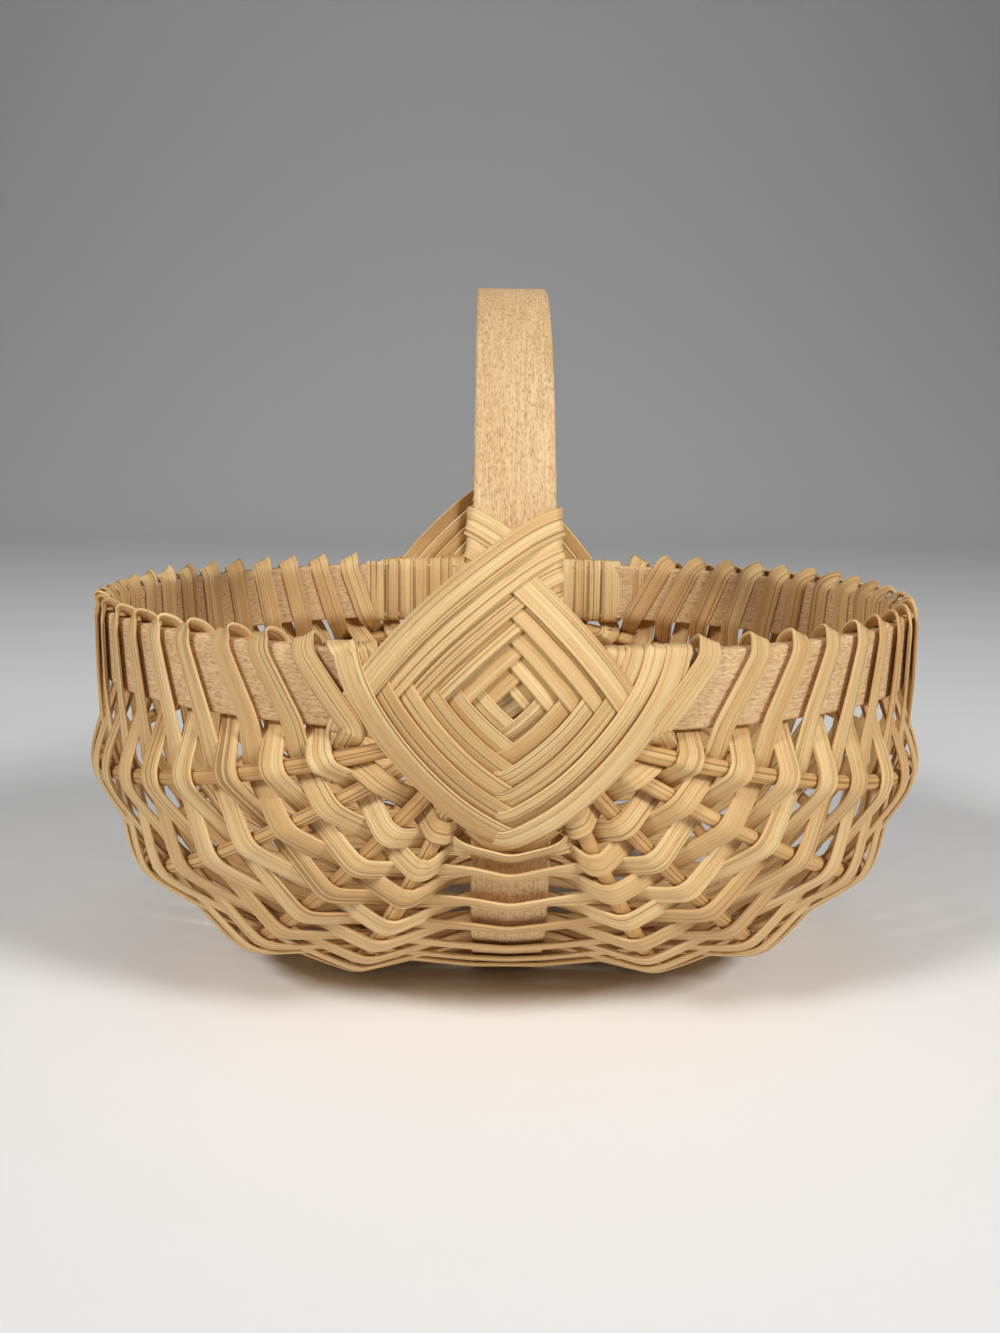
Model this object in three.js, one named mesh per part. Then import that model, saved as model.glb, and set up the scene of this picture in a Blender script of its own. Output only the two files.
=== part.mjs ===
// A buttocks basket: two flat wooden hoops crossed at right angles, lashed together front and back
// with diamond-shaped eyes of flat reed, eight round ribs set into the eyes, and flat reed woven over
// and under the ribs from one eye to the other.
//
// X runs along the basket's long side, Y from the front eye to the back eye, Z up. The origin is on the
// ground, under the middle of the basket.
import * as THREE from "three";

// Driving dimensions, in millimetres.
const BAND_WIDTH = 19; // the hoops are bent from 3/4 inch wide flat wood
const BAND_THICKNESS = 4;
const HOOP_RADIUS = 97; // outside of the handle hoop
const HOOP_RISE = 1; // the handle hoop's centre stands this far above the middle of the rim
const RIM_HALF_LENGTH = 117; // outside of the rim hoop, along X
const HOOP_GAP = 0.3; // where the rim hoop seats inside the handle hoop

const RIB_DIAMETER = 4;
const RIB_INSET = 5; // the ribs' ends sit this far inside the rim's outer face
const POCKET_GAP = 2; // between neighbouring rib ends under an eye
const LOWER_RIB_SETBACK = 12; // how far each rib's swell falls short of the rim's ends
const OUTER_BOTTOM_RIB_SETBACK = 40;
const INNER_BOTTOM_RIB_SETBACK = 72;
const UPPER_RIB_DROP = 35; // how far each rib hangs below the middle of the rim
const LOWER_RIB_DROP = 65;
const OUTER_BOTTOM_RIB_DROP = 88;

const REED_WIDTH = 4.8;
const REED_THICKNESS = 0.9;
const REED_GAP = 0.35; // between a reed and what it lies on
const ROWS = 41; // odd, so that the middle row crosses outside the keel
const ROWS_PER_WEAVER = 3;
const CREST_HALF_LENGTH = 1.8; // the flat top of a reed where it bends over a rib
const WRAP_LEAN = 4.6; // sideways lean of a reed over half the rim's height, beside the eyes

const EYE_ROUND_COUNT = 6;
const EYE_START = 2.6; // from the hoops' crossing to the first round
const EYE_STEP = 5.2; // from one round to the next, along a hoop
const EYE_REED_WIDTH = 4.5; // measured along the hoop that the reed crosses
const EYE_BOW_RATIO = 1.12; // how far a round bows outwards between two hoops
const EYE_FLARE = 0.2; // slope of the last round where it crosses a hoop
const EYE_SELF_GAP = 0.6; // where the last round crosses over itself
const EYE_TO_WEAVE = 1.8; // between an eye and the first row of the weave

const HOOP_SEGMENTS = 96;
const RIB_SEGMENTS = 22;
const RIB_SIDES = 7;

const vec = (x, y, z) => new THREE.Vector3(x, y, z);
const UP = vec(0, 0, 1);

const bandHalf = BAND_WIDTH / 2;
const hoopInside = HOOP_RADIUS - BAND_THICKNESS;
const reedLift = REED_GAP + REED_THICKNESS / 2; // from a face to the middle of the reed on it
const crestLift = RIB_DIAMETER / 2 + reedLift;

// The rim is flat-sided and the handle hoop is round, so the rim's edges touch first.
const rimHalfDepth = Math.sqrt(hoopInside ** 2 - (bandHalf + HOOP_RISE) ** 2) - HOOP_GAP;
const ribHalfDepth = rimHalfDepth - RIB_INSET;

// The eye's reed moves outwards as it is wound over the arms of the crossed hoops: handle, rim, keel, rim.
const ARMS = [vec(0, 0, 1), vec(-1, 0, 0), vec(0, 0, -1), vec(1, 0, 0)];
const lastTurn = EYE_ROUND_COUNT * ARMS.length - 1;
const roundAt = (turn) => EYE_START + (EYE_STEP * turn) / ARMS.length;
const eyeReach = roundAt(lastTurn) + EYE_FLARE * bandHalf + EYE_REED_WIDTH / 2;
const weaveStart = eyeReach + EYE_TO_WEAVE + REED_WIDTH / 2;
const groundDrop = HOOP_RADIUS - HOOP_RISE + REED_GAP + REED_THICKNESS;

// Colours of the pale hoop wood and of the reed.
const hoopWood = new THREE.MeshStandardMaterial({ color: 0xd9b382, roughness: 0.7, metalness: 0 });
const ribReed = new THREE.MeshStandardMaterial({ color: 0xc9995a, roughness: 0.65, metalness: 0 });
const flatReed = new THREE.MeshStandardMaterial({ color: 0xd8b06c, roughness: 0.6, metalness: 0 });

const basket = new THREE.Group();
basket.position.z = groundDrop;

function addPart(name, geometry, material) {
  const mesh = new THREE.Mesh(geometry, material);
  mesh.name = name;
  basket.add(mesh);
  return mesh;
}

// Flat hoops

// A point of the handle hoop's side view: the angle runs from the front eye down round the keel.
function hoopPoint(angle, radius, x) {
  return vec(x, -radius * Math.cos(angle), HOOP_RISE - radius * Math.sin(angle));
}

// A point beside the rim's outer face, found by going out along the ellipse's normal.
function rimNormal(angle) {
  return vec(Math.sin(angle) / RIM_HALF_LENGTH, -Math.cos(angle) / rimHalfDepth, 0).normalize();
}

function rimPoint(angle, outwards, z) {
  const onFace = vec(RIM_HALF_LENGTH * Math.sin(angle), -rimHalfDepth * Math.cos(angle), z);
  return onFace.addScaledVector(rimNormal(angle), outwards);
}

function rimTangent(angle) {
  return vec(RIM_HALF_LENGTH * Math.cos(angle), rimHalfDepth * Math.sin(angle), 0).normalize();
}

function ringBand(outline) {
  const outside = [];
  const inside = [];
  for (let i = 0; i < HOOP_SEGMENTS; i += 1) {
    const angle = (2 * Math.PI * i) / HOOP_SEGMENTS;
    outside.push(outline(angle, 0));
    inside.push(outline(angle, -BAND_THICKNESS));
  }
  const shape = new THREE.Shape(outside);
  shape.holes.push(new THREE.Path(inside));
  const band = new THREE.ExtrudeGeometry(shape, { depth: BAND_WIDTH, steps: 1, bevelEnabled: false });
  return band.translate(0, 0, -bandHalf);
}

const rimOutline = (angle, outwards) => {
  const point = rimPoint(angle, outwards, 0);
  return new THREE.Vector2(point.x, point.y);
};
const handleOutline = (angle, outwards) => {
  const radius = HOOP_RADIUS + outwards;
  return new THREE.Vector2(radius * Math.cos(angle), radius * Math.sin(angle));
};

addPart("rim_hoop", ringBand(rimOutline), hoopWood);
const handle = addPart("handle_hoop", ringBand(handleOutline), hoopWood);
handle.rotation.y = Math.PI / 2;
handle.position.z = HOOP_RISE;

// Round ribs

// The rib ends fan out on a quarter circle in the corner under the rim and beside the keel.
const POCKET_FAN = Math.PI / 2;
// The lobes hang level with the keel, so the basket stands on both.
const lowestRibDrop = HOOP_RADIUS - HOOP_RISE - RIB_DIAMETER / 2;
const ribForms = [
  { name: "upper_rib", setback: 0, drop: UPPER_RIB_DROP },
  { name: "lower_rib", setback: LOWER_RIB_SETBACK, drop: LOWER_RIB_DROP },
  { name: "outer_bottom_rib", setback: OUTER_BOTTOM_RIB_SETBACK, drop: OUTER_BOTTOM_RIB_DROP },
  { name: "inner_bottom_rib", setback: INNER_BOTTOM_RIB_SETBACK, drop: lowestRibDrop },
];
const pocketTurn = POCKET_FAN / (ribForms.length - 1);
const pocketRadius = (RIB_DIAMETER + POCKET_GAP) / (2 * Math.sin(pocketTurn / 2));
const pocketEdge = bandHalf + REED_GAP + REED_THICKNESS + REED_GAP + RIB_DIAMETER / 2;
ribForms.forEach((rib, i) => {
  rib.reach = RIM_HALF_LENGTH - rib.setback;
  const centre = pocketEdge + pocketRadius;
  rib.pocketX = centre - pocketRadius * Math.sin(i * pocketTurn);
  rib.pocketZ = -centre + pocketRadius * Math.cos(i * pocketTurn);
});

// Half an ellipse from the front pocket to the back pocket, swelling out and down in the middle.
function ribPoint(rib, angle) {
  const swell = Math.sin(angle);
  return vec(
    rib.pocketX + (rib.reach - rib.pocketX) * swell,
    -ribHalfDepth * Math.cos(angle),
    rib.pocketZ + (-rib.drop - rib.pocketZ) * swell,
  );
}

function ribTangent(rib, angle) {
  const swell = Math.cos(angle);
  return vec(
    (rib.reach - rib.pocketX) * swell,
    ribHalfDepth * Math.sin(angle),
    (-rib.drop - rib.pocketZ) * swell,
  ).normalize();
}

class RibCurve extends THREE.Curve {
  constructor(rib) {
    super();
    this.rib = rib;
  }

  getPoint(share) {
    return ribPoint(this.rib, Math.PI * share);
  }
}

const mirrored = (point) => vec(-point.x, point.y, point.z);

class MirroredCurve extends THREE.Curve {
  constructor(curve) {
    super();
    this.curve = curve;
  }

  getPoint(share) {
    return mirrored(this.curve.getPoint(share));
  }
}

const ribSection = new THREE.Shape(
  Array.from({ length: RIB_SIDES }, (_, i) => {
    const angle = (2 * Math.PI * i) / RIB_SIDES;
    return new THREE.Vector2(Math.cos(angle), Math.sin(angle)).multiplyScalar(RIB_DIAMETER / 2);
  }),
);

for (const rib of ribForms) {
  const right = new RibCurve(rib);
  for (const [side, extrudePath] of [["right", right], ["left", new MirroredCurve(right)]]) {
    const rod = new THREE.ExtrudeGeometry(ribSection, { steps: RIB_SEGMENTS, extrudePath });
    addPart(`${rib.name}_${side}`, rod, ribReed);
  }
}

// Flat reed

// A ribbon through a list of cross-sections, each with its middle, its half width and its half thickness.
function ribbon(sections) {
  const positions = [];
  for (const { at, across, through } of sections) {
    for (const [a, b] of [[1, 1], [-1, 1], [-1, -1], [1, -1]]) {
      const corner = at.clone().addScaledVector(across, a).addScaledVector(through, b);
      positions.push(corner.x, corner.y, corner.z);
    }
  }
  const last = 4 * (sections.length - 1);
  const triangles = [0, 2, 1, 0, 3, 2, last, last + 1, last + 2, last, last + 2, last + 3];
  for (let ring = 0; ring < last; ring += 4) {
    for (let side = 0; side < 4; side += 1) {
      const a = ring + side;
      const b = ring + ((side + 1) % 4);
      triangles.push(a, b, b + 4, a, b + 4, a + 4);
    }
  }
  const geometry = new THREE.BufferGeometry();
  geometry.setAttribute("position", new THREE.Float32BufferAttribute(positions, 3));
  geometry.setIndex(triangles);
  return volume(geometry) < 0 ? turnedInsideOut(geometry) : geometry;
}

function volume(geometry) {
  const corners = geometry.getAttribute("position");
  const [a, b, c] = [vec(0, 0, 0), vec(0, 0, 0), vec(0, 0, 0)];
  let total = 0;
  for (let i = 0; i < geometry.index.count; i += 3) {
    a.fromBufferAttribute(corners, geometry.index.getX(i));
    b.fromBufferAttribute(corners, geometry.index.getX(i + 1));
    c.fromBufferAttribute(corners, geometry.index.getX(i + 2));
    total += a.dot(b.cross(c)) / 6;
  }
  return total;
}

function turnedInsideOut(geometry) {
  geometry.setIndex(Array.from(geometry.index.array).reverse());
  return geometry;
}

// Weavers

// The share of the way from the first row to the last.
const rowShare = (row) => (row - 1) / (ROWS - 1);
const spread = (first, row) => first + (Math.PI - 2 * first) * rowShare(row);

// Where the first row crosses each piece of the frame, just clear of the eye.
const rimFirst = Math.asin((weaveStart + WRAP_LEAN) / RIM_HALF_LENGTH);
const keelFirst = Math.asin((weaveStart + HOOP_RISE) / HOOP_RADIUS);
const firstRowStart = rimPoint(rimFirst, 0, 0).x - WRAP_LEAN;
const firstRowEnd = hoopPoint(keelFirst, HOOP_RADIUS, bandHalf);
ribForms.forEach((rib) => {
  // The first row runs straight from the rim's lower edge to the keel's edge, across the ribs.
  const start = new THREE.Vector2(firstRowStart, -bandHalf);
  const end = new THREE.Vector2(firstRowEnd.x, firstRowEnd.z);
  const slope = (end.y - start.y) / (end.x - start.x);
  const level = start.y - slope * start.x;
  const runX = rib.reach - rib.pocketX;
  const runZ = -rib.drop - rib.pocketZ;
  const swell = (slope * rib.pocketX + level - rib.pocketZ) / (runZ - slope * runX);
  rib.first = Math.asin(swell);
});

const isInside = (row) => row % 2 === 1; // odd rows pass inside the rim, even rows outside
const halfReed = (tangent, share = 1) => tangent.clone().multiplyScalar((REED_WIDTH / 2) * share);
const halfThick = (direction) => direction.clone().multiplyScalar(REED_THICKNESS / 2);

function rimSection(row, z, outwards, facing, share = 1) {
  const middle = spread(rimFirst, row);
  const lean = (WRAP_LEAN * Math.cos(middle) * z) / bandHalf / RIM_HALF_LENGTH;
  const angle = middle + lean;
  const through = rimNormal(angle).multiplyScalar(facing.out).addScaledVector(UP, facing.up);
  const across = halfReed(rimTangent(angle), share);
  return { at: rimPoint(angle, outwards, z), across, through: halfThick(through) };
}

const rimTopZ = bandHalf + reedLift;
const rimLowZ = -bandHalf - reedLift;
const outerFace = reedLift;
const innerFace = -BAND_THICKNESS - reedLift;

const outerLow = (row) => rimSection(row, rimLowZ, outerFace, { out: 1, up: 0 });
const outerTop = (row) => rimSection(row, rimTopZ, outerFace, { out: 1, up: 1 });
const innerTop = (row, share) => rimSection(row, rimTopZ, innerFace, { out: -1, up: 1 }, share);
const innerLow = (row) => rimSection(row, rimLowZ, innerFace, { out: -1, up: 0 });

// A new weaver is started, and an old one ended, with its tail tucked against the inside of the rim.
const TAIL_SHARE = 0.65; // a tail is trimmed narrower
const tail = (row) => rimSection(row, 0, innerFace, { out: -1, up: 0 }, TAIL_SHARE);
const innerEnd = (row) => rimSection(row, bandHalf * TAIL_SHARE, innerFace, { out: -1, up: 0 }, TAIL_SHARE);

// The reed's bend over one rib: two sections, before and after the crest.
function crest(rib, row, before, after, outside) {
  const angle = spread(rib.first, row);
  const tangent = ribTangent(rib, angle);
  const along = after.clone().sub(before).normalize();
  const out = along.clone().cross(tangent).normalize();
  const side = outside ? 1 : -1;
  const middle = ribPoint(rib, angle).addScaledVector(out, side * crestLift);
  return [-1, 1].map((end) => ({
    at: middle.clone().addScaledVector(along, end * CREST_HALF_LENGTH),
    across: halfReed(tangent),
    through: halfThick(out),
  }));
}

// One row's sections on the basket's right side, from the rim's lower edge to the keel's edge. Their
// thickness points away from the inside of the basket.
function halfRow(row) {
  const rimOutside = !isInside(row);
  const rimLow = rimOutside ? outerLow(row) : innerLow(row);
  if (!rimOutside) {
    rimLow.through.negate();
  }
  const keelAngle = spread(keelFirst, row);
  const keelRadius = rimOutside ? hoopInside - reedLift : HOOP_RADIUS + reedLift;
  const keelOut = vec(0, -Math.cos(keelAngle), -Math.sin(keelAngle));
  const keel = {
    at: hoopPoint(keelAngle, keelRadius, bandHalf + reedLift),
    across: halfReed(vec(0, Math.sin(keelAngle), -Math.cos(keelAngle))),
    through: halfThick(keelOut),
  };
  const stations = [rimLow.at, ...ribForms.map((rib) => ribPoint(rib, spread(rib.first, row))), keel.at];
  const sections = [rimLow];
  ribForms.forEach((rib, i) => {
    const outside = rimOutside === (i % 2 === 1);
    sections.push(...crest(rib, row, stations[i], stations[i + 2], outside));
  });
  sections.push(keel);
  return sections;
}

const mirrorSection = ({ at, across, through }) => ({
  at: mirrored(at),
  across: mirrored(across),
  through: mirrored(through),
});
const mirrorAll = (sections) => sections.map(mirrorSection);
const turnOver = ({ at, across, through }) => ({ at, across, through: through.clone().negate() });

// Odd rows run from right to left, even rows back from left to right.
function fullRow(row) {
  const right = halfRow(row);
  const left = mirrorAll(right).reverse();
  return isInside(row) ? [...right, ...left].map(turnOver) : [...mirrorAll(right), ...right.reverse()];
}

// Over the rim's top edge from one row to the next.
const overRim = (row) => (isInside(row)
  ? mirrorAll([innerTop(row), outerTop(row + 1)])
  : [outerTop(row), innerTop(row + 1)]);
const tuckedOver = (row) => [tail(row), innerTop(row, TAIL_SHARE), outerTop(row)];
const startOf = (row) => (isInside(row) ? [innerEnd(row)] : mirrorAll(tuckedOver(row)));
const endOf = (row) => (isInside(row) ? mirrorAll([innerEnd(row)]) : tuckedOver(row).reverse());

function weaver(firstRow, lastRow) {
  const sections = [...startOf(firstRow)];
  for (let row = firstRow; row <= lastRow; row += 1) {
    sections.push(...fullRow(row));
    sections.push(...(row < lastRow ? overRim(row) : endOf(row)));
  }
  return ribbon(sections);
}

for (let first = 1; first <= ROWS; first += ROWS_PER_WEAVER) {
  const last = Math.min(first + ROWS_PER_WEAVER - 1, ROWS);
  const number = String((first - 1) / ROWS_PER_WEAVER + 1).padStart(2, "0");
  addPart(`weaver_${number}`, weaver(first, last), flatReed);
}

// Eyes

const armOf = (turn) => ARMS[turn % ARMS.length];
const isUpright = (arm) => arm.x === 0;
const FORWARD = vec(0, -1, 0);
const BACKWARD = vec(0, 1, 0);
const edgeLift = bandHalf + reedLift;
const layer = REED_THICKNESS + EYE_SELF_GAP; // from one layer of reed to the next

// How far the front of the eye stands out: over the handle hoop's outer face, and from its edges down to
// the rim's outer face at the eye's side corners.
const hoopDepth = (radius, z) => Math.sqrt(radius ** 2 - (z - HOOP_RISE) ** 2);
const rimDepth = (x, outwards) => {
  const share = x / (RIM_HALF_LENGTH + outwards);
  return (rimHalfDepth + outwards) * Math.sqrt(1 - share ** 2);
};
const sideDrop = (hoopDepth(HOOP_RADIUS, -edgeLift) - rimDepth(eyeReach, REED_GAP)) / (eyeReach - edgeLift);
const domeDepth = (x, z) => hoopDepth(HOOP_RADIUS, z) - sideDrop * Math.max(0, Math.abs(x) - edgeLift);

const onFront = (lift) => (plan) => vec(plan.x, -domeDepth(plan.x, plan.z) - reedLift - lift, plan.z);
const onBack = (arm) => (plan) => {
  const depth = isUpright(arm) ? hoopDepth(hoopInside, plan.z) : rimDepth(plan.x, -BAND_THICKNESS);
  return vec(plan.x, -depth + reedLift, plan.z);
};

// A cross-section whose two edges both lie on the given surface.
function eyeSection(plan, outwards, surface, through) {
  const half = outwards.clone().multiplyScalar(EYE_REED_WIDTH / 2);
  const across = surface(plan.clone().add(half)).sub(surface(plan.clone().sub(half))).multiplyScalar(0.5);
  return { at: surface(plan), across, through: halfThick(through) };
}

// A place on the eye's plan: so far along one arm, and so far beside it.
const planAt = (arm, along, beside, away) => arm.clone().multiplyScalar(along).addScaledVector(beside, away);
const onArm = (turn) => armOf(turn).clone().multiplyScalar(roundAt(turn));
const isLastRound = (turn) => turn > lastTurn - ARMS.length;

// Between two arms the reed bows outwards, and it bends where it leaves the hoops' edges.
function betweenArms(turn) {
  const ends = [turn, turn + 1].map((end) => ({ arm: armOf(end), plan: onArm(end) }));
  const bow = ((roundAt(turn) + roundAt(turn + 1)) / 4) * EYE_BOW_RATIO;
  const middle = planAt(ends[0].arm, bow, ends[1].arm, bow);
  const diagonal = ends[0].arm.clone().add(ends[1].arm).multiplyScalar(EYE_BOW_RATIO / 2);
  const bend = ({ arm, plan }, share, lift) => {
    const outwards = arm.clone().lerp(diagonal, share);
    return eyeSection(plan.clone().lerp(middle, share), outwards, onFront(lift), FORWARD);
  };
  const panel = bend(ends[0], 1, 0);
  if (bow > edgeLift) {
    const share = edgeLift / bow;
    return [bend(ends[0], share, isLastRound(turn) ? layer : 0), panel, bend(ends[1], share, 0)];
  }
  const rimEnd = ends.find(({ arm }) => !isUpright(arm));
  const reach = Math.abs(rimEnd.plan.x);
  if (reach <= edgeLift) {
    return [panel];
  }
  const edge = bend(rimEnd, (reach - edgeLift) / (reach - bow), 0);
  return rimEnd === ends[0] ? [edge, panel] : [panel, edge];
}

// In the last round the reed also goes right round each arm, and crosses over itself in front.
function roundArm(turn) {
  const arm = armOf(turn);
  const onward = armOf(turn + 1);
  const flared = roundAt(turn) + EYE_FLARE * bandHalf;
  const axis = onArm(turn);
  const far = planAt(arm, flared, onward, edgeLift);
  const near = planAt(arm, flared, onward, -edgeLift);
  return [
    eyeSection(axis, arm, onFront(0), FORWARD),
    eyeSection(far, arm, onFront(0), FORWARD.clone().add(onward)),
    eyeSection(far, arm, onBack(arm), BACKWARD.clone().add(onward)),
    eyeSection(near, arm, onBack(arm), BACKWARD.clone().sub(onward)),
    eyeSection(near, arm, onFront(layer), FORWARD.clone().sub(onward)),
    eyeSection(axis, arm, onFront(layer), FORWARD),
  ];
}

// One unbroken reed, wound outwards over the crossed hoops.
function eyeSections() {
  const sections = [];
  for (let turn = 0; turn <= lastTurn; turn += 1) {
    const corner = eyeSection(onArm(turn), armOf(turn), onFront(0), FORWARD);
    sections.push(...(isLastRound(turn) ? roundArm(turn) : [corner]));
    if (turn < lastTurn) {
      sections.push(...betweenArms(turn));
    }
  }
  return sections;
}

// The least distance between points on the reed's faces that are further apart along the reed.
function leastSelfGap(sections) {
  const STEPS = 6;
  const APART = 2.5 * STEPS;
  const points = [];
  sections.slice(1).forEach((next, i) => {
    for (let step = 0; step < STEPS; step += 1) {
      const between = (key) => sections[i][key].clone().lerp(next[key], step / STEPS);
      const [at, across, through] = ["at", "across", "through"].map(between);
      for (const a of [-1, -0.5, 0, 0.5, 1]) {
        for (const b of [-1, 1]) {
          const point = at.clone().addScaledVector(across, a).addScaledVector(through, b);
          points.push({ point, place: i * STEPS + step });
        }
      }
    }
  });
  let least = Infinity;
  points.forEach((one, i) => {
    for (let j = i + 1; j < points.length; j += 1) {
      if (points[j].place - one.place > APART) {
        least = Math.min(least, one.point.distanceToSquared(points[j].point));
      }
    }
  });
  return Math.sqrt(least);
}

const eyeReed = eyeSections();
console.log(`least gap of an eye's reed to itself: ${leastSelfGap(eyeReed).toFixed(2)} mm`);
addPart("front_eye", ribbon(eyeReed), flatReed);
const backEye = addPart("back_eye", ribbon(eyeReed), flatReed);
backEye.rotation.z = Math.PI;

export default basket;
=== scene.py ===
# %% [markdown]
# A buttocks basket, dressed for its portrait. On the real one two flat wooden hoops cross at right angles,
# an eye of wound reed lashes them together at each crossing, eight round ribs spring from the eyes, and
# flat reed is woven over and under the ribs. It could be modelled by eye over the photograph. Here the
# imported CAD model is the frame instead: it gives every hoop and rib its size and place, and the meshes
# below put the real material's bends, edges and grain on it.

# %% Load the frame
import math

import bpy
import numpy as np
from mathutils import Matrix, Vector


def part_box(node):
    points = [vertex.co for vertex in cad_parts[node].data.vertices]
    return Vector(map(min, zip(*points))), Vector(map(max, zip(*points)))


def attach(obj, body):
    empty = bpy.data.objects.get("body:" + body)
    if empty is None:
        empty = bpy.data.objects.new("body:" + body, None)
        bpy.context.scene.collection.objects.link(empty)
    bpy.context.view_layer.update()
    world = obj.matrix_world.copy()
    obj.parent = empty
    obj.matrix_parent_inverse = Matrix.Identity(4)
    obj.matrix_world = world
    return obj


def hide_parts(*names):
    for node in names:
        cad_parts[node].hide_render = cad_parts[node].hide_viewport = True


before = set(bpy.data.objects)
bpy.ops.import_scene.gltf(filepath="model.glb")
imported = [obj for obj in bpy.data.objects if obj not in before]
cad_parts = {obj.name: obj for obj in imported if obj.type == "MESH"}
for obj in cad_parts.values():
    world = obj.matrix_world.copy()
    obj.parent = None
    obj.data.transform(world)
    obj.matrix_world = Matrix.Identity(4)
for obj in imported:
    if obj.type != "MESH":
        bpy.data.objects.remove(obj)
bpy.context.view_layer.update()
print("the frame holds", len(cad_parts), "nodes")

# %% [markdown]
# Everything on a ribbed basket hangs from the rim, so all shapes are worked out in millimetres from the
# middle of the rim, and moved to the frame's metres when their meshes are made. The hoops' sizes could be
# typed in again. They are read from the CAD nodes' boxes, so that the pieces follow the CAD when it
# changes. Only the thickness of a hoop doesn't show in its box.

# %% Read the hoops' sizes from the frame
MM_PER_M = 1000.0
BAND_THICKNESS = 4.0  # millimetres, as all sizes below unless they say otherwise


def box_mm(node):
    """The lowest and highest corners of a CAD node, in millimetres."""
    low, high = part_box(node)
    return np.array(low) * MM_PER_M, np.array(high) * MM_PER_M


rim_low, rim_high = box_mm("rim_hoop")
handle_low, handle_high = box_mm("handle_hoop")
rim_height = (rim_low[2] + rim_high[2]) / 2
rim_half_length, rim_half_depth = rim_high[0], rim_high[1]
band_half = (rim_high[2] - rim_low[2]) / 2
hoop_radius = handle_high[1]
hoop_rise = (handle_low[2] + handle_high[2]) / 2 - rim_height
print(f"rim {2 * rim_half_length:.0f} x {2 * rim_half_depth:.0f} mm, handle hoop {2 * hoop_radius:.0f} mm")

# %% [markdown]
# Every piece of this basket is a strip or a rod: one outline carried along a path. Blender's curve objects
# do that too, but they choose the twist by themselves, and the twist is what makes a reed lie flat on the
# frame. So the meshes are made from arrays, and first come the faces between neighbouring outlines.

# %% The faces of a strip


def unit(vectors):
    """Each vector divided by its own length."""
    return vectors / np.maximum(np.linalg.norm(vectors, axis=-1, keepdims=True), 1e-9)


def dot(a, b):
    """The dot products of two lists of vectors, kept as a column."""
    return np.sum(a * b, axis=-1, keepdims=True)


def tube_faces(rings, sides, closed):
    """Four-sided faces between neighbouring rings, and for an open strip two ends of paired corners."""
    ring = np.arange(rings if closed else rings - 1)[:, None]
    side = np.arange(sides)[None, :]
    after = (side + 1) % sides
    onward = (ring + 1) % rings
    corners = [ring * sides + side, ring * sides + after, onward * sides + after, onward * sides + side]
    faces = np.stack(np.broadcast_arrays(*corners), axis=-1).reshape(-1, 4)
    if closed:
        return faces, np.empty((0, 4), int)
    first = np.arange(sides // 2 - 1)
    lid = np.stack([first, sides - 1 - first, sides - 2 - first, first + 1], axis=-1)
    return faces, np.vstack([lid, lid[:, ::-1] + (rings - 1) * sides])


def enclosed_volume(points, faces):
    """The volume inside the faces, from the cones that they make with the origin."""
    a, b, c, d = (points[faces[:, i]] for i in range(4))
    return (dot(a, np.cross(b, c)) + dot(a, np.cross(c, d))).sum() / 6


print("an open strip of 3 rings of 12 corners has", len(np.vstack(tube_faces(3, 12, False))), "faces")

# %% [markdown]
# A path is a list of sections, and each has its middle, a vector across the strip and a vector through
# it. The UV map is measured in millimetres, round the outline and along the path. An unwrap would stretch
# in the bends, while this map lets the grain run lengthwise through every bend at one scale. Each strand
# is cut from another place of a large field of grain, so that no two look alike.

# %% Carry an outline along a path
RANDOM = np.random.default_rng(7)
GRAIN_FIELD = (90, 900)


def walk(points):
    """The distance walked from the first point to each point after it, and back to the first."""
    steps = np.diff(np.vstack([points, points[:1]]), axis=0)
    return np.concatenate([[0], np.cumsum(np.linalg.norm(steps, axis=1))])


def grain_map(around, along, faces, lids):
    """Each face corner's distance round the outline and along the path, in millimetres."""
    sides = len(around) - 1
    ring, side = np.divmod(np.arange(len(faces)), sides)
    u = np.stack([around[side], around[side + 1], around[side + 1], around[side]], -1)
    v = np.stack([along[ring], along[ring], along[ring + 1], along[ring + 1]], -1)
    lid_map = np.stack([around[lids % sides], along[lids // sides]], axis=-1)
    return np.concatenate([np.stack([u, v], axis=-1), lid_map])


def sweep(name, path, outline, tone, closed=False, start=None):
    """A mesh whose rings are middle + across * outline[0] + through * outline[1]. The grain starts at a
    random place of the field, or at a given one."""
    at, across, through = path
    points = at[:, None] + across[:, None] * outline[None, :, :1] + through[:, None] * outline[None, :, 1:]
    start = RANDOM.uniform((0, 0), GRAIN_FIELD) if start is None else start
    faces, lids = tube_faces(len(at), len(outline), closed)
    uv = grain_map(walk(points[0]) + start[0], walk(at) + start[1], faces, lids)
    faces = np.vstack([faces, lids])
    points = points.reshape(-1, 3)
    if enclosed_volume(points, faces) < 0:
        faces, uv = faces[:, ::-1], uv[:, ::-1]
    mesh = bpy.data.meshes.new(name)
    mesh.from_pydata((points + [0, 0, rim_height]) / MM_PER_M, [], faces)
    mesh.polygons.foreach_set("use_smooth", np.arange(len(faces)) < len(faces) - len(lids))
    mesh.uv_layers.new(name="grain").data.foreach_set("uv", uv.reshape(-1))
    mesh.attributes.new("tone", "FLOAT", "POINT").data.foreach_set("value", np.repeat(tone, len(outline)))
    mesh.update()
    piece = bpy.data.objects.new(name, mesh)
    bpy.context.scene.collection.objects.link(piece)
    return piece


print(f"strands are cut from {GRAIN_FIELD[0]} x {GRAIN_FIELD[1]} mm of grain")

# %% [markdown]
# Reed is bent wet, so its bends are tight but never sharp. Handles on a curve could round them, but this
# basket has hundreds of bends. Cutting corners rounds them all together: each pass puts two new sections
# on every span, a quarter of the way from its ends. After that the sections are squared up to the path
# again, so that the strip keeps its thickness in every bend.

# %% Smooth a path by cutting its corners


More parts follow.
